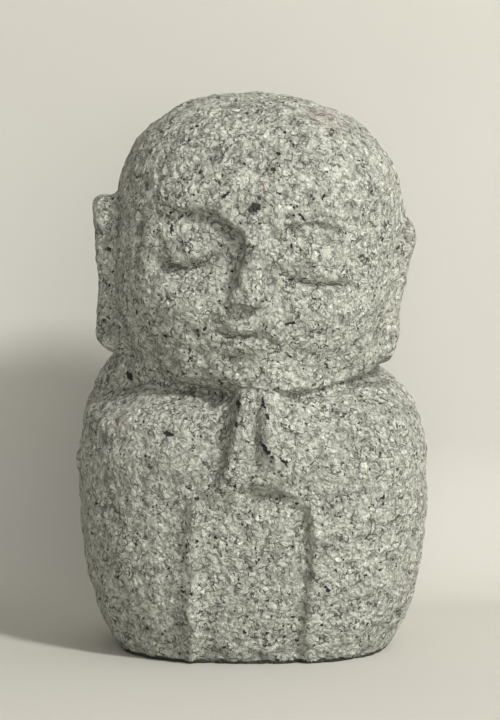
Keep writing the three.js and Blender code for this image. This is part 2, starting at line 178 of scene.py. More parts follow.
# The hand-carved block wanders by this much over this length.
WANDER = 0.35
WANDER_LENGTH = 23


def ramp(low, high, value):
    """Smoothly 0 to 1 as the value goes from low to high."""
    share = np.clip((value - low) / (high - low), 0, 1)
    return share * share * (3 - 2 * share)


def bell(distance, size):
    """1 at no distance, and nearly 0 from about this size on."""
    return np.exp(-3 * (distance / size) ** 2)


def join(a, b, radius):
    """Both fields together, with a fillet where they meet."""
    share = np.maximum(radius - np.abs(a - b), 0) / radius
    return np.minimum(a, b) - share * share * radius / 4


def to_segment(x, z, a, b):
    """The distance to the straight line from a to b."""
    (ax, az), (bx, bz) = a, b
    along = (x - ax) * (bx - ax) + (z - az) * (bz - az)
    share = np.clip(along / ((bx - ax) ** 2 + (bz - az) ** 2), 0, 1)
    return np.hypot(x - ax - share * (bx - ax), z - az - share * (bz - az))


def turned(x, z, cx, cz, angle):
    """The place across and up, as seen from a middle and turned by an angle in degrees."""
    c, s = np.cos(np.radians(angle)), np.sin(np.radians(angle))
    return (x - cx) * c - (z - cz) * s, (x - cx) * s + (z - cz) * c


def rounded_block(x, y, z, half_width, half_depth, reach, plan_power, power):
    """A block between an ellipsoid and a box. The higher the powers, the squarer it is."""
    plan = (np.abs(x / half_width) ** plan_power + np.abs(y / half_depth) ** plan_power) ** (1 / plan_power)
    level = (plan**power + np.abs(z / reach) ** power) ** (1 / power)
    return np.sqrt(x * x + y * y + z * z) * (1 - 1 / np.maximum(level, 0.05))


def robe(x, y, z):
    across = x - ROBE["x"]
    up = z - ROBE["z"]
    shoulder = ROBE["up"] - SHOULDER_TILT * np.sin(np.clip(across / SHOULDER_RUN, -1, 1) * np.pi / 2)
    reach = np.where(up > 0, shoulder, ROBE["down"])
    power = np.where(up > 0, ROBE_SQUARENESS["up"], ROBE_SQUARENESS["down"])
    plan_power = ROBE_SQUARENESS["plan"]
    return rounded_block(across, y, up, ROBE["half_width"], ROBE["half_depth"], reach, plan_power, power)


def head(x, y, z):
    across, up = turned(x, z, HEAD["x"], HEAD["z"], HEAD_TILT)
    reach = np.where(up > 0, HEAD["up"], HEAD["down"])
    power = np.where(up > 0, HEAD_SQUARENESS["up"], HEAD_SQUARENESS["down"])
    plan_power = HEAD_SQUARENESS["plan"]
    return rounded_block(across, y, up, HEAD["half_width"], HEAD["half_depth"], reach, plan_power, power)


def jowl(x, y, z, spec):
    """How far the jaw swells round a place."""
    parts = zip((x, y, z), spec["middle"], spec["size"])
    away = [(value - middle) / size for value, middle, size in parts]
    return spec["bulge"] * bell(np.sqrt(away[0] ** 2 + away[1] ** 2 + away[2] ** 2), 1)


def ear(x, y, z, spec):
    side, reach, length, middle_z = spec["side"], spec["reach"], spec["length"], spec["z"]
    c, s = np.cos(np.radians(EAR_TILT)), np.sin(np.radians(EAR_TILT))
    out = side * (x * c - (z - middle_z) * s)
    up = (z - middle_z) * c + (x - side * EAR_ROOT_X) * s
    down = np.clip(0.5 - up / length, 0, 1)
    top = ramp(-length / 4, length / 4, up)
    corner = spec["lobe_corner"] + (spec["top_corner"] - spec["lobe_corner"]) * top
    half_reach = HEAD["half_width"] / 2
    across_y = y - EAR_FRONT_Y - EAR_THICKNESS / 2
    dx = np.abs(out - reach + spec["lean"] * down + half_reach) - half_reach + corner
    dy = np.abs(across_y) - (EAR_THICKNESS - EAR_TAPER * down) / 2 + corner
    dz = np.abs(up) - length / 2 + corner
    outside = np.sqrt(np.maximum(dx, 0) ** 2 + np.maximum(dy, 0) ** 2 + np.maximum(dz, 0) ** 2)
    slab = outside + np.minimum(np.maximum(np.maximum(dx, dy), dz), 0) - corner
    hollow = EAR_HOLLOW * bell(np.hypot(across_y * EAR_HOLLOW_SLIMNESS, up), length / 2)
    return slab + np.where(out > HEAD["half_width"], hollow, 0)


def socket(u, w):
    """The hollow under each brow, and the low ridge along it."""
    side = np.abs(u)
    span = np.where(side < BROW_U, BROW_U - NOSE_ROOT_WIDTH / 2, (BROW_END - BROW_U) * 1.6)
    brow = BROW_W - BROW_FALL * ((side - BROW_U) / span) ** 2
    outwards = ramp(BROW_END + BROW_FADE, BROW_U, side)
    cut = ramp(0.7, -1.2, w - brow) * ramp(SOCKET_BOTTOM, 0, w) * outwards
    share = np.where(u < 0, 1, RIGHT_SOCKET_SHARE)
    ridge = BROW_RIDGE * bell(w - brow - BROW_RIDGE_UP, BROW_RIDGE_SIZE) * outwards
    return -SOCKET_DEPTH * share * cut + ridge


def lid(u, w, eye):
    """One shut eye: a domed lid above a slit."""
    along = (eye["side"] * u - eye["u"]) / (eye["width"] / 2)
    above = w - EYE_SAG * (along * along - 0.5) + eye["slant"] * along
    across = (eye["side"] * u - eye["u"]) / (eye["lid_width"] / 2)
    dome = np.hypot(across, (above - LID_HEIGHT / 2) / (LID_HEIGHT * 0.62))
    slit = bell(above + 0.3, eye["slit_width"]) * ramp(1.3, 0.6, np.abs(along))
    return eye["bulge"] * bell(dome, 1.35) * ramp(-LID_EDGE, LID_EDGE, above) - eye["slit_depth"] * slit


def with_nose(relief, u, w):
    """The face's relief with the nose rising out of it."""
    down = np.clip((BROW_W - w) / (BROW_W - NOSE_BASE_W), 0, 1)
    half = (NOSE_ROOT_WIDTH + (NOSE_BASE_WIDTH - NOSE_ROOT_WIDTH) * down**3) / 2
    off = np.clip(np.abs(u - NOSE_U) / half, 0, 1)
    ridge = 1 - off**NOSE_SQUARENESS
    base = NOSE_BASE_W - NOSE_BASE_SAG * ridge
    rise = NOSE_HEIGHT * (NOSE_ROOT_SHARE + (1 - NOSE_ROOT_SHARE) * down)
    rise = rise * ramp(BROW_W + 2, BROW_W - 7, w) * ramp(base - 0.9, base + 1.1, w)
    return np.maximum(relief, relief * (1 - ridge) + rise * ridge)


def mouth(u, w):
    along = (u - MOUTH_U) / (MOUTH_WIDTH / 2)
    line = MOUTH_W - MOUTH_DIP * bell(along + 0.1, 0.75) - MOUTH_DROOP * ramp(0.55, 1.3, along)
    above = w - line
    muzzle = np.hypot((u - MOUTH_U) / MUZZLE_SIZE[0], (w - MOUTH_W - 0.5) / MUZZLE_SIZE[1])
    lower = bell(np.hypot(along * 1.25, above / LIP_HEIGHT + 1), 1.2)
    upper = bell(np.hypot(along * 1.1, above / LIP_HEIGHT - 0.9), 1.2)
    slit = bell(above, MOUTH_SLIT_WIDTH) * ramp(1.25, 0.7, np.abs(along))
    crease = bell(np.hypot(along * 1.3, (above + LIP_HEIGHT * 2) / CHIN_CREASE_WIDTH), 1)
    lips = LIP_BULGE * (lower + UPPER_LIP_SHARE * upper)
    return MUZZLE_BULGE * bell(muzzle, 1.25) + lips - MOUTH_SLIT_DEPTH * slit - CHIN_CREASE * crease


def face_relief(x, z):
    """How far the face stands out of the plain head."""
    u, w = turned(x, z, FACE_X, FACE_Z, FACE_TILT)
    side = np.abs(u)
    fold = to_segment(side, w, (NOSE_BASE_WIDTH * 0.7, -6), (MOUTH_WIDTH * 0.62, MOUTH_W - 2))
    relief = socket(u, w) + lid(u, w, EYES[0]) + lid(u, w, EYES[1])
    relief = with_nose(relief, u, w) + mouth(u, w)
    relief = relief + CHIN_BULGE * bell(np.hypot(u - CHIN_U, w - CHIN_W), CHIN_SIZE)
    relief = relief + CHEEK_BULGE * bell(np.hypot(side - CHEEK_U, w - CHEEK_W), CHEEK_SIZE)
    jaw = JAW_BULGE * bell(w - JAW_W, JAW_SIZE)
    relief = relief + jaw * ramp(JAW_HALF_WIDTH + JAW_FADE, JAW_HALF_WIDTH - JAW_FADE, np.abs(u - JAW_U))
    return relief - CHEEK_FOLD_DEPTH * bell(fold, CHEEK_FOLD_WIDTH)


def above_line(x, z, corner):
    """The distance above the line from the wrists to a corner of the panel."""
    dx = corner[0] - HANDS_X
    dz = corner[1] - WRIST_Z
    return np.sign(dx) * (dx * (z - WRIST_Z) - dz * (x - HANDS_X)) / np.hypot(dx, dz)


def robe_relief(x, z):
    """How far hands, sleeves, forearms and panel stand out of the plain robe."""
    lean = PANEL_LEAN * np.clip(1 - z / PANEL_RIGHT[1], 0, 1)
    past_right = x - PANEL_RIGHT[0] + lean + 0.6 * np.sin(z / 6)
    past_right = np.maximum(past_right, above_line(x, z, PANEL_RIGHT))
    past_left = PANEL_LEFT[0] - lean + 0.5 * np.sin(z / 5) - x
    past_left = np.maximum(past_left, above_line(x, z, PANEL_LEFT))
    left_top = ramp(PANEL_LEFT[1] - 6, PANEL_LEFT[1] + 5, z)
    fade = 1 - np.where(x < 0, left_top * ramp(2, -5, x), 0)
    right_edge = RIGHT_EDGE + RIGHT_EDGE_MELT * ramp(PANEL_RIGHT[1] - 2, PANEL_RIGHT[1] + 1.5, z)
    sunk = ramp(right_edge, -right_edge, past_right) * ramp(LEFT_EDGE, -LEFT_EDGE, past_left) * fade
    foot = 0.55 + 0.45 * ramp(0, PANEL_FOOT_Z, z)
    relief = -PANEL_DEPTH * (0.5 + 0.5 * bell(past_right, 9)) * foot * sunk
    sleeve = SLEEVE_LIP * bell(past_left - 2.4, 3.2) - SLEEVE_VALLEY * bell(past_left - 8, 6)
    relief = relief + sleeve * ramp(PANEL_LEFT[1] + 4, PANEL_LEFT[1] - 2, z) * ramp(-4, 7, z)

    up = np.clip((z - WRIST_Z) / (HANDS_TOP_Z - WRIST_Z), 0, 1)
    half_hands = FINGER_HALF_WIDTH + WRIST_SPREAD * (1 - up) ** 1.4
    off = x - HANDS_X
    tips = ramp(HANDS_TOP_Z + HANDS_TOP_EDGE, HANDS_TOP_Z - HANDS_TOP_EDGE, z)
    left_edge = ramp(half_hands + LEFT_HAND_EDGE, half_hands - LEFT_HAND_EDGE, -off)
    melt = RIGHT_HAND_MELT + WRIST_MELT * (1 - up)
    right_edge = ramp(half_hands + melt, half_hands - melt, off)
    height = WRIST_HEIGHT + (FINGER_HEIGHT - WRIST_HEIGHT) * up
    hands = height * np.where(off < 0, left_edge, right_edge) * tips * ramp(WRIST_Z - 5, WRIST_Z + 4, z)
    relief = relief + hands * (1 - sunk)
    seam = bell(off - SEAM_X, np.where(off < SEAM_X, SEAM_WIDTHS[0], SEAM_WIDTHS[1]))
    relief = relief - SEAM_DEPTH * seam * tips * ramp(WRIST_Z, WRIST_Z + 7, z)
    beside = bell(-off - half_hands - 4.5, HAND_HOLLOW_WIDTH)
    relief = relief - HAND_HOLLOW * beside * ramp(WRIST_Z + 2, WRIST_Z + 14, z)

    under = to_segment(x, z, (HANDS_X + 1, WRIST_Z + 4.5), (PANEL_RIGHT[0] + 2, PANEL_RIGHT[1] + 2.6))
    relief = relief - FOREARM_SLOPE * bell(under, FOREARM_SLOPE_WIDTH) * ramp(-1, 1, past_right)
    below = FOREARM_Z - 0.004 * (x + 22) ** 2 + 0.5 * np.sin(x / 4) - z
    ledge = FOREARM_LEDGE * ramp(-FOREARM_LEDGE_EDGE, FOREARM_LEDGE_EDGE, below)
    relief = relief + ledge * ramp(18, 0, below) * ramp(-8, -20, x)
    relief = relief - CHEST_VALLEY * bell(to_segment(x, z, *CHEST_VALLEY_ENDS), CHEST_VALLEY_WIDTH)
    relief = relief - CHEST_FALL * ramp(*CHEST_FALL_Z, z)
    relief = relief - JAW_HOLLOW * bell(z - JAW_HOLLOW_Z, JAW_HOLLOW_SIZE) * ramp(-3, -11, x)
    return relief


def wander(x, y, z):
    """The slow unevenness of a block that was cut by hand."""
    k = 2 * np.pi / WANDER_LENGTH
    first = np.sin(k * x + 1.1 * np.sin(k * 0.6 * z + 0.4)) * np.sin(k * 0.8 * z + 0.9)
    second = np.sin(k * 1.3 * y + 2.1) * np.sin(k * 0.77 * (x - z) + 0.3)
    return WANDER * (0.6 * first + 0.5 * second)


def stone(x, y, z):
    """The field of the whole carved stone, which carries on below the sawn underside."""
    front = ramp(*CARVING_Y, y)
    block = robe(x, y, z) - front * robe_relief(x, z)
    skull = head(x, y, z) - front * face_relief(x, z) * ramp(CHIN_Z - 9, CHIN_Z - 4, z)
    skull = skull - jowl(x, y, z, JOWLS[0]) - jowl(x, y, z, JOWLS[1])
    bust = join(skull, np.minimum(ear(x, y, z, EARS[0]), ear(x, y, z, EARS[1])), EAR_BLEND)
    radius = NECK_GROOVE * (1 - 1.5 * front * ramp(4, -8, x))
    groove = radius - np.hypot(bust - NECK_BLEND / 4, block - NECK_BLEND / 4)
    return np.maximum(join(bust, block, NECK_BLEND), groove) - wander(x, y, z)


# Fine surface: the cells are this wide at the middle, and narrower in front than behind. Blocks of so many
# cells each way are worked out at once, and those that aren't near the surface only roughly.
CELL = 0.86
CROWDING = 0.16
BLOCK = 4
NEAR = 5.0
LATTICE_LOW = (-62.0, -47.0)
LATTICE_REACH = (124, 90, 182)
LATTICE_BLOCKS = [int(np.ceil(reach / CELL / BLOCK)) for reach in LATTICE_REACH]
SLOPE_STEP = 0.12
SETTLING_ROUNDS = 3
STEEP_LEAST = 0.25
TINY = 1e-6

# Marks of the hammer: how far lumps rise, how wide they are and their draw
LUMPS = ((0.2, 5.5, 1), (0.32, 3.1, 2), (0.34, 1.75, 3))
# How wide pits are, their draw and how high the noise has to be for one
PITS = ((2.6, 4, 0.35), (3.9, 5, 0.45))
PIT_DEPTH = 0.75
# The marks are turned away from the axes, so that no row of them shows.
HAMMER_TURN = np.array([[0.8, 0.6, 0], [-0.48, 0.64, 0.6], [0.36, -0.48, 0.8]])


def lattice_place(index):
    """Where lattice points are, in millimetres. One layer of points lies below the sawn underside."""
    y = LATTICE_LOW[1] + CELL * index[..., 1]
    spread = 1 + CROWDING * y / ROBE["half_depth"]
    x = (LATTICE_LOW[0] + CELL * index[..., 0]) * spread
    z = CELL * (index[..., 2] - 0.5) * spread
    return np.stack([x, y, z], axis=-1)


def sawn(points):
    """The stone's field, cut off flat at z = 0."""
    x, y, z = points[..., 0], points[..., 1], points[..., 2]
    return np.maximum(stone(x, y, z), -z)


def lattice_values():
    """The sawn field on the lattice. Blocks far from the surface only get their middle's value."""
    blocks = np.moveaxis(np.indices(LATTICE_BLOCKS), 0, -1)
    rough = sawn(lattice_place(blocks * BLOCK + (BLOCK - 1) / 2))
    values = rough
    for axis in range(3):
        values = values.repeat(BLOCK, axis=axis)
    inner = np.moveaxis(np.indices((BLOCK,) * 3), 0, -1).reshape(-1, 3)
    near = np.argwhere(np.abs(rough) < NEAR + BLOCK * CELL)
    index = (near[:, None, :] * BLOCK + inner).reshape(-1, 3)
    values[tuple(index.T)] = sawn(lattice_place(index))
    return values


def surface_nets(values):
    """A point in each lattice cell that the surface crosses, and a quad round each edge that it crosses."""
    inside = values < 0
    cells = np.array(values.shape) - 1
    steps = np.eye(3, dtype=int)
    places, corners = [], []
    for axis in range(3):
        low = np.argwhere(np.diff(inside, axis=axis))
        high = low + steps[axis]
        at_low, at_high = values[tuple(low.T)], values[tuple(high.T)]
        share = (at_low / (at_low - at_high))[:, None]
        places.append(lattice_place(low) * (1 - share) + lattice_place(high) * share)
        one, two = steps[(axis + 1) % 3], steps[(axis + 2) % 3]
        ring = [low, low - one, low - one - two, low - two]
        ring = np.stack([np.ravel_multi_index(cell.T, cells) for cell in ring], axis=1)
        outwards = inside[tuple(low.T)]
        corners.append(np.where(outwards[:, None], ring, ring[:, ::-1]))
    places, corners = np.concatenate(places), np.concatenate(corners)
    cell_ids, quads = np.unique(corners, return_inverse=True)
    quads = quads.reshape(-1, 4)
    count = np.bincount(quads.ravel())
    points = [np.bincount(quads.ravel(), places[:, axis].repeat(4)) / count for axis in range(3)]
    layer = np.unravel_index(cell_ids, cells)[2]
    return np.stack(points, axis=1), quads, layer == 0


def uncut(points):
    """The stone's field, not cut off underneath."""
    return stone(points[:, 0], points[:, 1], points[:, 2])


def slope(points):
    """The gradient of the uncut field."""
    parts = []
    for step in np.eye(3) * SLOPE_STEP:
        parts.append((uncut(points + step) - uncut(points - step)) / (2 * SLOPE_STEP))
    return np.stack(parts, axis=1)


def settled(points, flat):
    """Moves the points onto the stone, keeps the underside flat, and gives the normals too."""
    lifted = flat & (points[:, 2] > TINY)
    points[flat, 2] = 0
    free = ~flat | lifted
    for _ in range(SETTLING_ROUNDS):
        gradient = slope(points[free])
        gradient[lifted[free], 2] = 0
        steep = np.maximum((gradient**2).sum(axis=1), STEEP_LEAST)
        move = (uncut(points[free]) / steep)[:, None] * gradient
        length = np.linalg.norm(move, axis=1, keepdims=True)
        points[free] -= move * np.minimum(1, 0.5 * CELL / np.maximum(length, 1e-9))
    points[:, 2] = np.maximum(points[:, 2], 0)
    normals = np.tile([0.0, 0.0, -1.0], (len(points), 1))
    gradient = slope(points[free])
    gradient[lifted[free], 2] = 0
    normals[free] = gradient / np.maximum(np.linalg.norm(gradient, axis=1, keepdims=True), TINY)
    return points, normals, free


def scatter(cell, seed):
    """A number from -1 to 1 for each whole-numbered cell, always the same one."""
    whirl = np.sin(cell @ np.array([12.9898, 78.233, 37.719]) + 17.3 * seed) * 4375.85453
    return 2 * (whirl - np.floor(whirl)) - 1


def noise(points, size, seed):
    """Smooth heights from -1 to 1, in lumps of about this size."""
    base = np.floor(points / size)
    share = points / size - base
    share = share * share * (3 - 2 * share)
    total = np.zeros(len(points))
    for corner in np.ndindex(2, 2, 2):
        weight = np.where(corner, share, 1 - share).prod(axis=1)
        total += weight * scatter(base + corner, seed)
    return total


def hammered(points):
    """How far the tool's blows leave the surface above or below the smooth stone."""
    place = points @ HAMMER_TURN
    height = sum(rise * noise(place, size, seed) for rise, size, seed in LUMPS)
    pits = sum(np.maximum(noise(place, size, seed) - least, 0) for size, seed, least in PITS)
    return height - PIT_DEPTH * pits


def statue_mesh():
    """The mesh of the whole statue, and the place in the field that is its origin."""
    points, quads, flat = surface_nets(lattice_values())
    points, normals, free = settled(points, flat)
    middle = np.append((points.min(axis=0) + points.max(axis=0))[:2] / 2, 0)
    relief = np.where(free, hammered(points), 0)
    points = points + normals * relief[:, None]
    points[flat, 2] = 0
    points[:, 2] = np.maximum(points[:, 2], 0)
    mesh = bpy.data.meshes.new("statue_stone")
    mesh.from_pydata(((points - middle) * MM).tolist(), [], quads.tolist())
    mesh.shade_smooth()
    attribute = mesh.attributes.new("relief", "FLOAT", "POINT")
    attribute.data.foreach_set("value", relief.astype(np.float32))
    return mesh, middle


class Nodes:
    """Short ways to add and join shader nodes."""

    def __init__(self, owner):
        owner.use_nodes = True
        self.tree = owner.node_tree
        self.tree.nodes.clear()

    def add(self, kind, inputs=None, **settings):
        node = self.tree.nodes.new("ShaderNode" + kind)
        for name, value in settings.items():
            setattr(node, name, value)
        for name, value in (inputs or {}).items():
            self.feed(node.inputs[name], value)
        return node

    def feed(self, socket, value):
        if isinstance(value, bpy.types.NodeSocket):
            self.tree.links.new(value, socket)
        else:
            socket.default_value = value

    def math(self, operation, a, b=0.0):
        return self.add("Math", {0: a, 1: b}, operation=operation).outputs[0]

    def product(self, *values):
        total = values[0]
        for value in values[1:]:
            total = self.math("MULTIPLY", total, value)
        return total

    def vector(self, operation, a, b):
        return self.add("VectorMath", {0: a, 1: b}, operation=operation).outputs[0]

    def noise(self, place, size, detail=2.0, roughness=0.5):
        """Noise with lumps of about this size, in the units of the place."""
        inputs = {"Vector": place, "Scale": 1 / size, "Detail": detail, "Roughness": roughness}
        return self.add("TexNoise", inputs)

    def band(self, value, low, high, low_to=0.0, high_to=1.0):
        """The value from low to high, smoothly turned into low_to to high_to."""
        inputs = {"Value": value, "From Min": low, "From Max": high, "To Min": low_to, "To Max": high_to}
        return self.add("MapRange", inputs, interpolation_type="SMOOTHSTEP").outputs[0]

    def mix(self, share, a, b):
        """A colour between colours a and b. Sockets 6 and 7 of the node and its output 2 are colours."""
        node = self.add("Mix", data_type="RGBA")
        self.feed(node.inputs[0], share)
        self.feed(node.inputs[6], a)
        self.feed(node.inputs[7], b)
        return node.outputs[2]


def grey(level):
    """The stone's slightly yellowish green grey, as linear light."""
    return (level * 0.985, level, level * 0.875, 1.0)


BLACK = grey(0.012)
# The grey of painted shade in carved lines and corners
PAINTED_SHADE = grey(0.09)
PALE = grey(0.7)
WHITE = grey(0.9)
PINK = (0.56, 0.43, 0.38, 1.0)
FAINT = {PINK: 0.25, PAINTED_SHADE: 0.7}
STRONG = 0.95

# Single marks on the front: across and up in millimetres, half their width and height, turn in degrees
# and colour. First specks, glints and pale patches, then rust stains, painted shade in the carved lines,
# and a few smaller specks, the last but one of them a spot of painted shade in the right eye's inner
# corner.
MARKS = (
    (0.1, 119.9, 1.5, 1.1, 25, BLACK),
    (1.9, 118.2, 0.8, 0.7, 0, WHITE),
    (7.0, 115.1, 0.9, 0.9, 0, WHITE),
    (-1.2, 127.3, 2.4, 1.3, 20, PALE),
    (-21.0, 114.0, 0.5, 1.5, 10, BLACK),
    (18.6, 108.1, 1.4, 1.5, 0, PALE),
    (-33.1, 74.5, 0.6, 1.7, 25, BLACK),
    (-4.0, 69.2, 0.5, 1.1, -10, BLACK),
    (-4.3, 64.4, 0.5, 1.0, 0, BLACK),
    (2.4, 69.6, 0.5, 1.6, 20, BLACK),
    (3.4, 66.7, 0.6, 1.0, 30, BLACK),
    (2.9, 58.6, 0.5, 1.9, 35, BLACK),
    (7.8, 54.8, 0.5, 1.5, 40, BLACK),
    (6.0, 71.0, 0.9, 0.7, 0, WHITE),
    (-21.9, 61.4, 1.1, 0.6, -20, BLACK),
    (2.4, 125.3, 1.4, 1.4, 0, PINK),
    (19.0, 143.0, 5.5, 2.2, -25, PINK),
    (-34.5, 63.5, 1.6, 1.0, 0, PINK),
    # Painted shade along the eyes, the left brow and the mouth
    (-19.4, 104.4, 2.7, 0.5, -9, PAINTED_SHADE),
    (-18.4, 109.5, 3.1, 0.25, -61, PAINTED_SHADE),
    (-7.6, 115.3, 3.2, 0.35, -20, PAINTED_SHADE),
    (12.2, 100.7, 4.0, 0.28, -7, PAINTED_SHADE),
    (20.8, 99.9, 4.2, 0.28, -4, PAINTED_SHADE),
    (-8.4, 87.7, 3.0, 0.3, -10, PAINTED_SHADE),
    (-0.7, 86.6, 3.6, 0.3, -6, PAINTED_SHADE),
    (-7.1, 123.0, 1.3, 0.4, 35, BLACK),
    (4.8, 129.3, 0.9, 0.5, 0, BLACK),
    (12.4, 117.5, 1.4, 0.4, -40, BLACK),
    (18.0, 122.4, 0.4, 0.8, -20, BLACK),
    # Painted shade in the right eye's inner corner
    (6.5, 107.6, 0.6, 1.1, 15, PAINTED_SHADE),
    (9.5, 90.2, 1.2, 0.5, 20, BLACK),
)
MARK_EDGE = (1.3, 0.8)

# Sizes of the granite's noises, in millimetres, and how far the wobble bends the grains and the lines
WOBBLE_SIZE = 1.8
GRAIN_BEND = 2.8
LINE_BEND = 1.3
CLOUD_SIZE = 14.0
PATCH_SIZE = 5.0
MOTTLE_SIZE = 1.4

# Crystals: cell size in millimetres, draw, the share of cells that has one, and its reach from the middle
QUARTZ = dict(size=1.4, seed=1, share=0.2)
FELDSPAR = dict(size=1.8, seed=2, share=0.2)
SMALL_BRIGHT = dict(size=1.0, seed=3, share=0.045, reach=0.46)
LARGE_BRIGHT = dict(size=1.9, seed=8, share=0.016, reach=0.44)
SMALL_MICA = dict(size=0.95, seed=4, share=0.14, reach=0.46)
LARGE_MICA = dict(size=1.6, seed=5, share=0.025, reach=0.42)
CRYSTAL_REACH = 0.52
CRYSTAL_EDGE = 0.1

# Lines: the size of their curls in millimetres, draw, half width, and the band of patches that has them
CRACKS = dict(size=2.6, seed=6, width=0.026, low=0.44, high=0.53)
GLINTS = dict(size=2.4, seed=7, width=0.024, low=0.46, high=0.56)
SCRATCHES = dict(size=1.7, seed=9, width=0.04, low=0.42, high=0.52)
# Painted highlights: a second, finer layer of glints
SMALL_GLINTS = dict(size=1.8, seed=10, width=0.035, low=0.42, high=0.52)

# Lower rim: painted contact shadow, an uneven dark line where the stone meets the ground
CONTACT_SHADOW_HEIGHTS = (2.3, 2.7)
CONTACT_SHADOW_UNEVENNESS = 3.0
CONTACT_SHADOW_STRENGTH = 0.92

BUMP_DISTANCE = 0.0021


